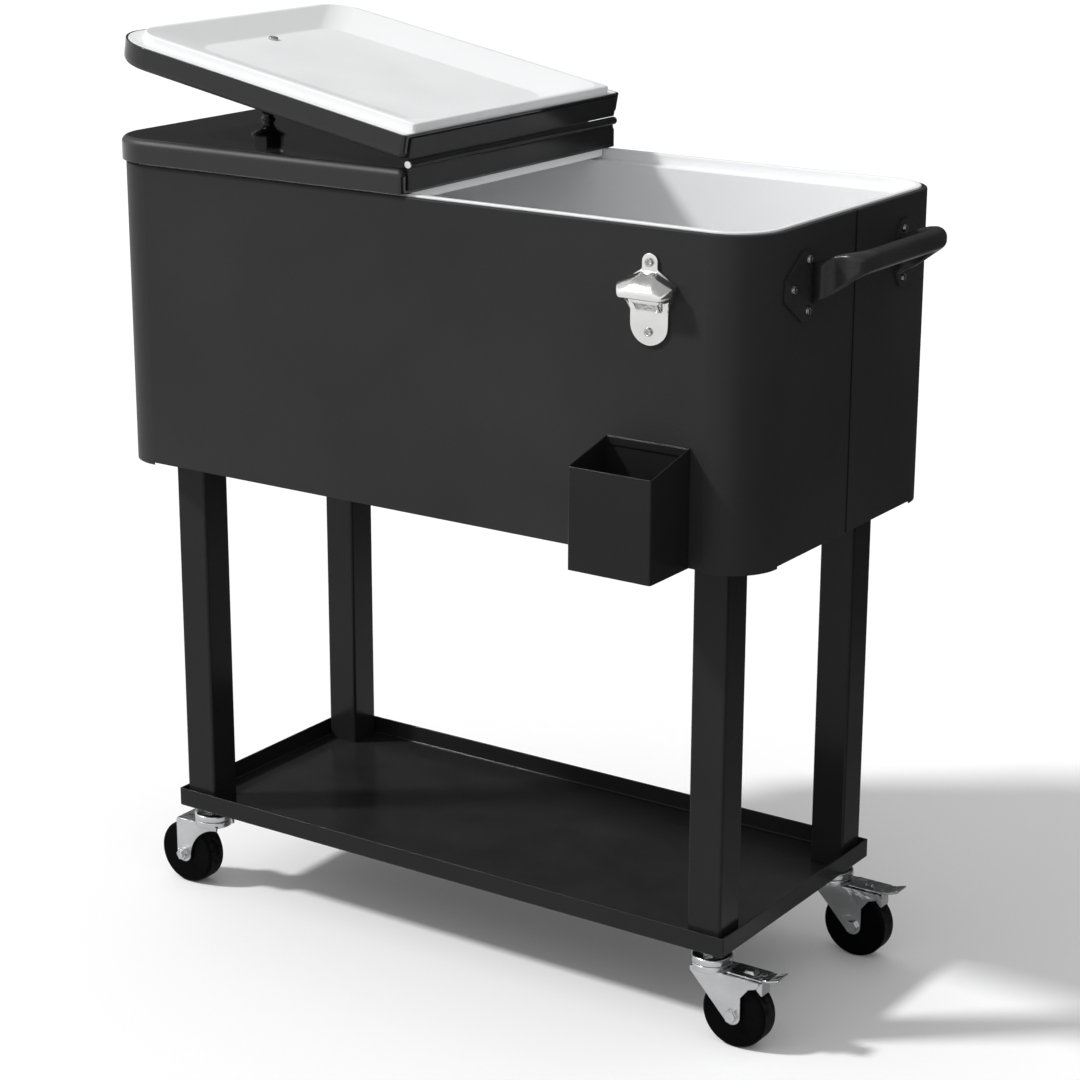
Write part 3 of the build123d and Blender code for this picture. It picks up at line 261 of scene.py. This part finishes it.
def coated(name, tones, edge_tone, edge_share, gloss, grain_scale, grain_depth,
           specular=0.5, radius=0.0012, dust_amount=0.05, cloud_scale=5.0):
    finish = bpy.data.materials.new(name)
    finish.use_nodes = True
    tree = finish.node_tree
    shader = tree.nodes["Principled BSDF"]
    shader.inputs["Specular IOR Level"].default_value = specular
    edge = use_group(tree, soft_edge, Radius=radius)
    slow = use_group(tree, clouds, Scale=cloud_scale)
    rubbed = use_group(tree, clouds, Scale=rub_scale, Low=rub_least, High=1.0)
    body = blend_colours(tree, slow.outputs["Value"], opaque(tones[0]), opaque(tones[1]))
    edge_blend = maths(tree, "MULTIPLY", edge.outputs["Edge"], rubbed.outputs["Value"])
    edge_blend = maths(tree, "MULTIPLY", edge_blend, edge_share)
    body = blend_colours(tree, edge_blend, body, opaque(edge_tone))
    settled = use_group(tree, dust, Amount=dust_amount)
    body = blend_colours(tree, settled.outputs["Mask"], body, opaque(dust_tone))
    tree.links.new(body, shader.inputs["Base Color"])
    sheen = use_group(
        tree, clouds, Scale=gloss_to_tone_scale * cloud_scale, Low=gloss[0], High=gloss[1]
    )
    dulled = maths(tree, "ADD", sheen.outputs["Value"], settled.outputs["Mask"])
    tree.links.new(dulled, shader.inputs["Roughness"])
    skin = use_group(tree, grain, Scale=grain_scale)
    relief = add_node(tree, "ShaderNodeBump")
    relief.inputs["Distance"].default_value = grain_depth
    tree.links.new(skin.outputs["Height"], relief.inputs["Height"])
    tree.links.new(edge.outputs["Normal"], relief.inputs["Normal"])
    tree.links.new(relief.outputs[0], shader.inputs["Normal"])
    return finish


print("recipe: coated surface")

# %% [markdown]
# ## Black paint on the body, lids and frame
# The body is sheet steel with a semi-gloss coat whose fine orange peel spreads the light. The
# lids are smoother and show the knob's mirror image. The legs and the shelf carry a thicker
# powder coat, and the handle is glossier, where hands polish it. Black paint is mostly its
# reflection, so the base stays near black and the specular level does the rest.

# %% Finishes: black paint
finishes["skin"] = coated(
    "body_paint", tones=((0.032, 0.032, 0.033), (0.041, 0.041, 0.042)),
    edge_tone=(0.075, 0.075, 0.075), edge_share=0.45, gloss=(0.36, 0.46),
    grain_scale=1100.0, grain_depth=0.00003, specular=0.09, dust_amount=0.02,
)
finishes["lid_paint"] = coated(
    "lid_paint", tones=((0.010, 0.010, 0.011), (0.014, 0.014, 0.015)),
    edge_tone=(0.085, 0.085, 0.085), edge_share=0.5, gloss=(0.05, 0.10),
    grain_scale=500.0, grain_depth=0.000002, radius=0.0015, dust_amount=0.0,
)
finishes["frame_paint"] = coated(
    "frame_powder_coat", tones=((0.015, 0.015, 0.016), (0.020, 0.020, 0.021)),
    edge_tone=(0.075, 0.075, 0.075), edge_share=0.5, gloss=(0.16, 0.25),
    grain_scale=850.0, grain_depth=0.00001, specular=0.16, dust_amount=0.02,
)
finishes["handle_gloss"] = coated(
    "handle_gloss_coat", tones=((0.027, 0.027, 0.028), (0.035, 0.035, 0.036)),
    edge_tone=(0.08, 0.08, 0.08), edge_share=0.4, gloss=(0.22, 0.31),
    grain_scale=850.0, grain_depth=0.000005, specular=0.24, radius=0.001,
    dust_amount=0.0, cloud_scale=12.0,
)
finishes["bare_sheet"] = coated(
    "base_primer", tones=((0.050, 0.050, 0.052), (0.075, 0.075, 0.077)),
    edge_tone=(0.16, 0.15, 0.14), edge_share=0.6, gloss=(0.50, 0.68),
    grain_scale=600.0, grain_depth=0.00005, specular=0.3, dust_amount=0.0,
)
print("finishes so far:", len(finishes))

# %% [markdown]
# ## Rounded edge of the lids
# Round its top edge a lid's sheet is drawn over a die and keeps a duller, slightly pebbled coat,
# which spreads the lamp into a soft band of light. On that edge the normal is neither upright nor
# level, so its height alone picks the band out, on the shut lid and on the folded one.

# %% Duller lid edge
skirt_ends, edge_starts = 0.20, 0.32
edge_ends, top_starts = 0.93, 0.975
edge_dulling = 0.46
tree = finishes["lid_paint"].node_tree
shader = tree.nodes["Principled BSDF"]
glossed = shader.inputs["Roughness"].links[0].from_socket
where = add_node(tree, "ShaderNodeTexCoord")
facing = add_node(tree, "ShaderNodeSeparateXYZ")
tree.links.new(where.outputs["Normal"], facing.inputs[0])
upright = maths(tree, "ABSOLUTE", facing.outputs["Z"])
drawn = maths(
    tree, "MULTIPLY",
    spread(tree, upright, skirt_ends, edge_starts, 0.0, 1.0),
    spread(tree, upright, top_starts, edge_ends, 0.0, 1.0),
)
duller = maths(tree, "ADD", glossed, maths(tree, "MULTIPLY", drawn, edge_dulling))
tree.links.new(duller, shader.inputs["Roughness"])
print("duller edge on:", finishes["lid_paint"].name)

# %% [markdown]
# ## Seam of the body skin
# The skin is two bent sheets that meet at the middle of each end. The gap itself is half a
# millimetre, too thin to show from here, though on a real body it lies in shade while the
# sheets' edges dip in. The finish paints that shade as a narrow dark line, and a bump tips the
# light beside it.

# %% Seam line
line_core, line_fade = 0.0008, 0.0015
dip_floor, dip_rim, dip_depth = 0.0003, 0.0032, 0.0015
seam_y = 0.5 * (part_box("front_shell")[1][1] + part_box("rear_shell")[0][1])
tree = finishes["skin"].node_tree
shader = tree.nodes["Principled BSDF"]
painted = shader.inputs["Base Color"].links[0].from_socket
grained = shader.inputs["Normal"].links[0].from_socket
where = add_node(tree, "ShaderNodeTexCoord")
place = add_node(tree, "ShaderNodeSeparateXYZ")
tree.links.new(where.outputs["Object"], place.inputs[0])
away = maths(tree, "ABSOLUTE", maths(tree, "SUBTRACT", place.outputs["Y"], seam_y))
# painted shade: the gap's shade is painted into the base colour as a narrow dark line
painted_gap_shade = spread(tree, away, line_core, line_fade, 1.0, 0.0)
tree.links.new(blend_colours(tree, painted_gap_shade, painted, grey(0.002)), shader.inputs["Base Color"])
dip = add_node(tree, "ShaderNodeBump")
dip.inputs["Distance"].default_value = dip_depth
tree.links.new(spread(tree, away, dip_floor, dip_rim, 0.0, 1.0), dip.inputs["Height"])
tree.links.new(grained, dip.inputs["Normal"])
tree.links.new(dip.outputs[0], shader.inputs["Normal"])
print("seam at y =", round(seam_y, 4))

# %% [markdown]
# ## White and black plastics, foam and rubber
# The tub and the lid pans are moulded in a white plastic with a satin grain. The knobs are glossy
# black plastic, the drain is white with a rubber gasket, and foam fills the walls, where it shows
# only on a cut.

# %% Finishes: plastics and rubber
finishes["white_plastic"] = coated(
    "tub_white", tones=((0.90, 0.905, 0.91), (0.93, 0.935, 0.94)),
    edge_tone=(0.95, 0.95, 0.95), edge_share=0.5, gloss=(0.30, 0.42),
    grain_scale=1600.0, grain_depth=0.00002, specular=0.15, radius=0.002,
    dust_amount=0.02, cloud_scale=7.0,
)
finishes["knob_plastic"] = coated(
    "knob_black", tones=((0.008, 0.008, 0.008), (0.013, 0.013, 0.013)),
    edge_tone=(0.06, 0.06, 0.06), edge_share=0.4, gloss=(0.07, 0.13),
    grain_scale=2200.0, grain_depth=0.000003, dust_amount=0.0, cloud_scale=30.0,
)
finishes["drain_plastic"] = coated(
    "drain_white", tones=((0.66, 0.66, 0.65), (0.76, 0.76, 0.75)),
    edge_tone=(0.85, 0.85, 0.85), edge_share=0.5, gloss=(0.40, 0.55),
    grain_scale=1800.0, grain_depth=0.00003, radius=0.0006, dust_amount=0.02, cloud_scale=40.0,
)
finishes["seal"] = coated(
    "gasket_rubber", tones=((0.020, 0.020, 0.020), (0.032, 0.032, 0.031)),
    edge_tone=(0.08, 0.08, 0.08), edge_share=0.5, gloss=(0.65, 0.85),
    grain_scale=2500.0, grain_depth=0.00004, specular=0.3, radius=0.0004,
    dust_amount=0.0, cloud_scale=60.0,
)
finishes["foam"] = coated(
    "wall_foam", tones=((0.76, 0.69, 0.46), (0.86, 0.80, 0.60)),
    edge_tone=(0.90, 0.86, 0.70), edge_share=0.4, gloss=(0.75, 0.95),
    grain_scale=350.0, grain_depth=0.0004, specular=0.2, radius=0.002,
    dust_amount=0.0, cloud_scale=25.0,
)
print("finishes so far:", len(finishes))

# %% [markdown]
# ## Plated and polished metal
# The caster sheet is zinc-plated: bright, slightly blue, with a faint spangle and brushing. The
# opener and the hinge pin are polished stainless steel, the screws are bright plated, and those
# of the handle are blackened. A metal has no colour of its own beside its reflection, so tone and
# roughness carry all the detail, and a slow wave in the pressed sheet bends what it mirrors.

# %% Recipe: bare metal
stroke_tone_least, edge_wear_and_painted_light = 0.6, 0.7
wave_to_tone_scale = 0.8


def metal(name, tones, edge_tone, gloss, stretch, relief_depth, wave_depth,
          radius=0.0006, cloud_scale=40.0):
    finish = bpy.data.materials.new(name)
    finish.use_nodes = True
    tree = finish.node_tree
    shader = tree.nodes["Principled BSDF"]
    shader.inputs["Metallic"].default_value = 1.0
    edge = use_group(tree, soft_edge, Radius=radius)
    slow = use_group(tree, clouds, Scale=cloud_scale)
    lines = use_group(tree, brushing, Stretch=stretch)
    streaks = spread(tree, lines.outputs["Value"], 0.0, 1.0, stroke_tone_least, 1.0)
    tone = maths(tree, "MULTIPLY", slow.outputs["Value"], streaks)
    body = blend_colours(tree, tone, opaque(tones[0]), opaque(tones[1]))
    # Edges blend towards edge_tone: lighter on the stainless and bright-plated screws, a painted
    # dark reflection on the zinc, and painted glints on the blackened screws
    edge_blend = maths(tree, "MULTIPLY", edge.outputs["Edge"], edge_wear_and_painted_light)
    tree.links.new(blend_colours(tree, edge_blend, body, opaque(edge_tone)), shader.inputs["Base Color"])
    halves = [maths(tree, "MULTIPLY", part.outputs["Value"], 0.5) for part in (slow, lines)]
    dull = maths(tree, "ADD", *halves)
    tree.links.new(spread(tree, dull, 0.0, 1.0, gloss[0], gloss[1]), shader.inputs["Roughness"])
    relief = add_node(tree, "ShaderNodeBump")
    relief.inputs["Distance"].default_value = relief_depth
    tree.links.new(lines.outputs["Value"], relief.inputs["Height"])
    tree.links.new(edge.outputs["Normal"], relief.inputs["Normal"])
    sway = use_group(tree, clouds, Scale=wave_to_tone_scale * cloud_scale)
    waves = add_node(tree, "ShaderNodeBump")
    waves.inputs["Distance"].default_value = wave_depth
    tree.links.new(sway.outputs["Value"], waves.inputs["Height"])
    tree.links.new(relief.outputs[0], waves.inputs["Normal"])
    tree.links.new(waves.outputs[0], shader.inputs["Normal"])
    return finish


print("recipe: bare metal")

# %% Finishes: metal
finishes["stainless"] = metal(
    "opener_stainless", tones=((0.78, 0.775, 0.77), (0.88, 0.875, 0.87)),
    edge_tone=(0.92, 0.92, 0.92), gloss=(0.10, 0.20), stretch=(1400.0, 300.0, 60.0),
    relief_depth=0.000004, wave_depth=0.0004, radius=0.0008,
)
finishes["screws"] = metal(
    "screw_plating", tones=((0.42, 0.42, 0.44), (0.56, 0.56, 0.57)),
    edge_tone=(0.70, 0.70, 0.70), gloss=(0.14, 0.26), stretch=(900.0, 900.0, 900.0),
    relief_depth=0.000004, wave_depth=0.0002, radius=0.0004, cloud_scale=150.0,
)
# painted glints: the blackened screws' pale edge_tone paints bright rims on them
finishes["black_screws"] = metal(
    "handle_screw_plating", tones=((0.20, 0.20, 0.205), (0.32, 0.32, 0.325)),
    edge_tone=(0.75, 0.75, 0.75), gloss=(0.05, 0.13), stretch=(900.0, 900.0, 900.0),
    relief_depth=0.000003, wave_depth=0.0003, radius=0.0004, cloud_scale=200.0,
)
# painted reflection: the zinc's dark edge_tone paints the dark studio mirrored along the fork's
# edges
finishes["zinc"] = metal(
    "caster_zinc", tones=((0.54, 0.55, 0.56), (0.68, 0.685, 0.69)),
    edge_tone=(0.18, 0.18, 0.185), gloss=(0.14, 0.24), stretch=(120.0, 120.0, 700.0),
    relief_depth=0.000002, wave_depth=0.0014, radius=0.0012, cloud_scale=30.0,
)
print("finishes so far:", len(finishes))

# %% [markdown]
# ## Black wheels
# The wheels are plain black with a moulded side and a smooth tread. The tread picks up grey
# scuffs and grit, the sides don't. A tread's normal has no part along the axle, and the axles run
# along Y, so the Y part of the normal tells tread from side without any extra geometry.

# %% Finish: wheel
side_from, tread_from = 0.55, 0.15
scuff_scale, scuff_most = 160.0, 0.5
grit_tone, grit_dulling = (0.05, 0.049, 0.047), 0.5
finishes["wheel"] = coated(
    "wheel_black", tones=((0.0012, 0.0012, 0.0012), (0.0026, 0.0026, 0.0026)),
    edge_tone=(0.03, 0.03, 0.03), edge_share=0.4, gloss=(0.30, 0.42),
    grain_scale=1500.0, grain_depth=0.00002, specular=0.03, dust_amount=0.0, cloud_scale=30.0,
)
tree = finishes["wheel"].node_tree
shader = tree.nodes["Principled BSDF"]
painted = shader.inputs["Base Color"].links[0].from_socket
glossed = shader.inputs["Roughness"].links[0].from_socket
where = add_node(tree, "ShaderNodeTexCoord")
facing = add_node(tree, "ShaderNodeSeparateXYZ")
tree.links.new(where.outputs["Normal"], facing.inputs[0])
sideways = maths(tree, "ABSOLUTE", facing.outputs["Y"])
tread = spread(tree, sideways, side_from, tread_from, 0.0, 1.0)
scuffs = use_group(tree, clouds, Scale=scuff_scale, Low=0.0, High=scuff_most)
grit = maths(tree, "MULTIPLY", tread, scuffs.outputs["Value"])
gritty = blend_colours(tree, grit, painted, opaque(grit_tone))
tree.links.new(gritty, shader.inputs["Base Color"])
duller = maths(tree, "ADD", glossed, maths(tree, "MULTIPLY", grit, grit_dulling))
tree.links.new(duller, shader.inputs["Roughness"])
print("finish:", finishes["wheel"].name)

# %% [markdown]
# ## Dress the CAD pieces
# The record names a material slot for each piece. Each CAD object keeps its mesh and takes the
# finish of its slot. The handle and its screws are the exception: their slots are shared with
# pieces of another gloss, so they take a finish of their own.

# %% Assign finishes
own_finish = {
    "handle_bar": "handle_gloss",
    "handle_plate_front": "handle_gloss",
    "handle_plate_rear": "handle_gloss",
    "handle_screws": "black_screws",
}
for entry in frame["record"]["subparts"]:
    piece = frame["nodes"][entry["node"]]
    if not piece.material_slots:
        piece.data.materials.append(None)
    for holder in piece.material_slots:
        holder.material = finishes[own_finish.get(entry["node"], entry["material_slot"])]

# %% [markdown]
# ## Cast opener
# The opener is cast and polished, so its hood flows into its walls and plate without a sharp
# line. The CAD solid has the shape but keeps hard creases and flat facets. A copy of it is welded
# and turned into an even skin of small quads by a voxel remesh, which smoothing can work on.

# %% Copy and remesh
weld_gap, voxel = 0.000002, 0.0006


def select_only(piece):
    bpy.ops.object.select_all(action="DESELECT")
    piece.select_set(True)
    bpy.context.view_layer.objects.active = piece


def apply_modifier(piece, kind, **settings):
    made = piece.modifiers.new(kind.lower(), kind)
    for name, value in settings.items():
        setattr(made, name, value)
    bpy.ops.object.modifier_apply(modifier=made.name)


cast = bpy.data.objects.new("cast_opener", frame["nodes"]["bottle_opener"].data.copy())
bpy.context.scene.collection.objects.link(cast)
select_only(cast)
bpy.ops.object.mode_set(mode="EDIT")
bpy.ops.mesh.select_all(action="SELECT")
bpy.ops.mesh.remove_doubles(threshold=weld_gap)
bpy.ops.object.mode_set(mode="OBJECT")
apply_modifier(cast, "REMESH", mode="VOXEL", voxel_size=voxel)
print("opener's skin:", len(cast.data.polygons), "faces")

# %% [markdown]
# ## Widen and smooth the hood
# The hood in front of the plate is drawn a little wider, as smoothing shrinks it. A few rounds of
# smoothing then break every crease by about a millimetre, as a polishing wheel does. Many more on
# the hood alone, through a vertex group, melt its facets into one curve. The copy stands for the
# CAD node.

# %% Cast opener
plate_thickness = 0.003
hood_from, full_weight_from = 0.007, 0.005
hood_growth = 1.12
pull, crease_rounds, hood_rounds = 0.5, 7, 45
opener_low, opener_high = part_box("bottle_opener")
plate_face = opener_high[1] - plate_thickness
middle = (0.5 * (opener_low[0] + opener_high[0]), 0.0, 0.0)
hood_weights = cast.vertex_groups.new(name="hood")
for vertex in cast.data.vertices:
    proud = plate_face - vertex.co.y
    vertex.select = proud > hood_from
    weight = min(max(proud / full_weight_from, 0.0), 1.0)
    hood_weights.add([vertex.index], weight, "REPLACE")
bpy.ops.object.mode_set(mode="EDIT")
bpy.ops.transform.resize(value=(hood_growth, 1.0, 1.0), center_override=middle)
bpy.ops.object.mode_set(mode="OBJECT")
apply_modifier(cast, "SMOOTH", factor=pull, iterations=crease_rounds)
apply_modifier(cast, "SMOOTH", factor=pull, iterations=hood_rounds, vertex_group="hood")
bpy.ops.object.shade_smooth()
cast.data.materials.clear()
cast.data.materials.append(finishes["stainless"])
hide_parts("bottle_opener")
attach(cast, "body")
print("cast opener:", len(cast.data.polygons), "faces")

# %% [markdown]
# ## Floor
# The cooler stands on a plain pale floor. A large plane is enough; its matte white catches the
# soft shadow. A floor this white would light the shaded end as strongly as a lamp, so as a light
# it counts as grey. Glossy paint mirrors it white near the cooler and darker far to the right,
# where the studio ends. Seen straight by the camera it is white all over, and a touch of emission
# keeps it white where the lamps are turned low enough for white plastic.

# %% Floor
bpy.ops.object.select_all(action="DESELECT")
bpy.ops.mesh.primitive_plane_add(size=40.0, location=(0.0, 0.0, 0.0))
floor = bpy.context.object
floor.name = "studio_floor"
floor_finish = bpy.data.materials.new("floor_white")
floor_finish.use_nodes = True
floor.data.materials.append(floor_finish)
print("floor:", [round(v, 1) for v in floor.dimensions])

# %% Floor finish
floor_as_light, floor_to_camera, camera_lift = 0.34, 0.98, 0.03
mirrored_near, mirrored_far = 0.80, 0.06
away_from_lamps, near_end, far_end = (0.85, 0.53, 0.0), 0.2, 1.3
tree = floor_finish.node_tree
shader = tree.nodes["Principled BSDF"]
shader.inputs["Roughness"].default_value = 0.9
shader.inputs["Specular IOR Level"].default_value = 0.0
seen = add_node(tree, "ShaderNodeLightPath")
to_camera = seen.outputs["Is Camera Ray"]
in_mirrors = maths(
    tree, "MAXIMUM", seen.outputs["Is Glossy Ray"], seen.outputs["Is Transmission Ray"]
)
where = add_node(tree, "ShaderNodeTexCoord")
behind = add_node(tree, "ShaderNodeVectorMath", operation="DOT_PRODUCT")
tree.links.new(where.outputs["Object"], behind.inputs[0])
behind.inputs[1].default_value = away_from_lamps
far_off = spread(tree, behind.outputs["Value"], near_end, far_end, 0.0, 1.0)
mirrored = blend_colours(tree, far_off, grey(mirrored_near), grey(mirrored_far))
unseen = blend_colours(tree, in_mirrors, grey(floor_as_light), mirrored)
whiteness = blend_colours(tree, to_camera, unseen, grey(floor_to_camera))
tree.links.new(whiteness, shader.inputs["Base Color"])
lift = maths(tree, "MULTIPLY", to_camera, camera_lift)
tree.links.new(lift, shader.inputs["Emission Strength"])
print("finish:", floor_finish.name)

# %% [markdown]
# ## Light
# The photograph is lit from the front left and above: the long side is evenly bright, the handle
# end falls into shade, and a grey shadow lies to the right. One broad sun gives that shadow, and
# a pale sky fills it. The backdrop is white to the camera. As a light and in reflections the sky
# is white on the lit side and falls off to the right, as a studio does away from its lamps, so
# that the metal keeps some contrast. Towards the top the mirrored sky dims to a grey ceiling, as
# in a room with no lamp overhead.

# %% Sun
sun_travel = Vector((0.80, 0.62, -0.95)).normalized()
sun_strength, sun_width_degrees = 2.3, 6.0
bpy.ops.object.light_add(type="SUN", location=(-3.0, -2.5, 3.5))
key = bpy.context.object
key.name = "key_light"
key.rotation_euler = sun_travel.to_track_quat("-Z", "Y").to_euler()
key.data.energy = sun_strength
key.data.angle = math.radians(sun_width_degrees)
print("sun:", round(key.data.energy, 2))

# %% Sky
sky = bpy.data.worlds.new("studio_sky")
bpy.context.scene.world = sky
sky.use_nodes = True
tree = sky.node_tree
where = add_node(tree, "ShaderNodeTexCoord")
overhead = (0.0, 0.0, 1.0)


def sky_by(direction, low, high, at_low, at_high):
    toward = add_node(tree, "ShaderNodeVectorMath", operation="DOT_PRODUCT")
    tree.links.new(where.outputs["Generated"], toward.inputs[0])
    toward.inputs[1].default_value = direction
    return spread(tree, toward.outputs["Value"], low, high, at_low, at_high)


fill = tree.nodes["Background"]
mirrored = add_node(tree, "ShaderNodeBackground")
backdrop = add_node(tree, "ShaderNodeBackground")
for part in (fill, mirrored, backdrop):
    part.inputs["Color"].default_value = grey(1.0)
backdrop.inputs["Strength"].default_value = 1.0
fill_level = sky_by((-0.50, -0.55, 0.67), -0.25, 0.50, at_low=0.32, at_high=0.64)
tree.links.new(fill_level, fill.inputs["Strength"])
wall = sky_by((-0.45, -0.77, 0.45), -0.15, 0.45, at_low=0.06, at_high=1.0)
dimmed = maths(tree, "MULTIPLY", wall, sky_by(overhead, 0.50, 0.85, at_low=1.0, at_high=0.3))
ceiling = sky_by(overhead, 0.45, 0.65, at_low=0.0, at_high=0.4)
tree.links.new(maths(tree, "MAXIMUM", dimmed, ceiling), mirrored.inputs["Strength"])
print("sky parts:", [part.name for part in (fill, mirrored, backdrop)])

# %% Which sky each ray sees
seen = add_node(tree, "ShaderNodeLightPath")
in_mirrors = maths(
    tree, "MAXIMUM", seen.outputs["Is Glossy Ray"], seen.outputs["Is Transmission Ray"]
)
choose = add_node(tree, "ShaderNodeMixShader")
tree.links.new(in_mirrors, choose.inputs[0])
tree.links.new(fill.outputs[0], choose.inputs[1])
tree.links.new(mirrored.outputs[0], choose.inputs[2])
show = add_node(tree, "ShaderNodeMixShader")
tree.links.new(seen.outputs["Is Camera Ray"], show.inputs[0])
tree.links.new(choose.outputs[0], show.inputs[1])
tree.links.new(backdrop.outputs[0], show.inputs[2])
tree.links.new(show.outputs[0], tree.nodes["World Output"].inputs["Surface"])
bpy.context.scene.view_settings.view_transform = "Standard"
print("world:", sky.name)

# %% [markdown]
# ## Camera
# The photograph looks at the front right corner from about 34 degrees to the side and 17 degrees
# above, through a long lens. The place, the three turns and the lens were measured from the
# body's edges.

# %% Camera
camera_place = (1.60899, -2.34458, 1.32212)
yaw, pitch, roll = 0.59428, 0.29365, 0.00277
focal_pixels, image_pixels, sensor_mm = 2734.88, 1080.0, 36.0
bpy.ops.object.camera_add()
camera = bpy.context.object
camera.name = "photo_camera"
ahead = Vector((
    -math.sin(yaw) * math.cos(pitch), math.cos(yaw) * math.cos(pitch), -math.sin(pitch)
))
level = Vector((math.cos(yaw), math.sin(yaw), 0.0))
right = level * math.cos(roll) + level.cross(ahead) * math.sin(roll)
above = right.cross(ahead)
turn = Matrix((right, above, -ahead)).transposed().to_4x4()
camera.matrix_world = Matrix.Translation(camera_place) @ turn
camera.data.sensor_width = sensor_mm
camera.data.lens = focal_pixels / image_pixels * sensor_mm
camera.data.clip_end = 100.0
bpy.context.scene.camera = camera
print("lens in mm:", round(camera.data.lens, 1))
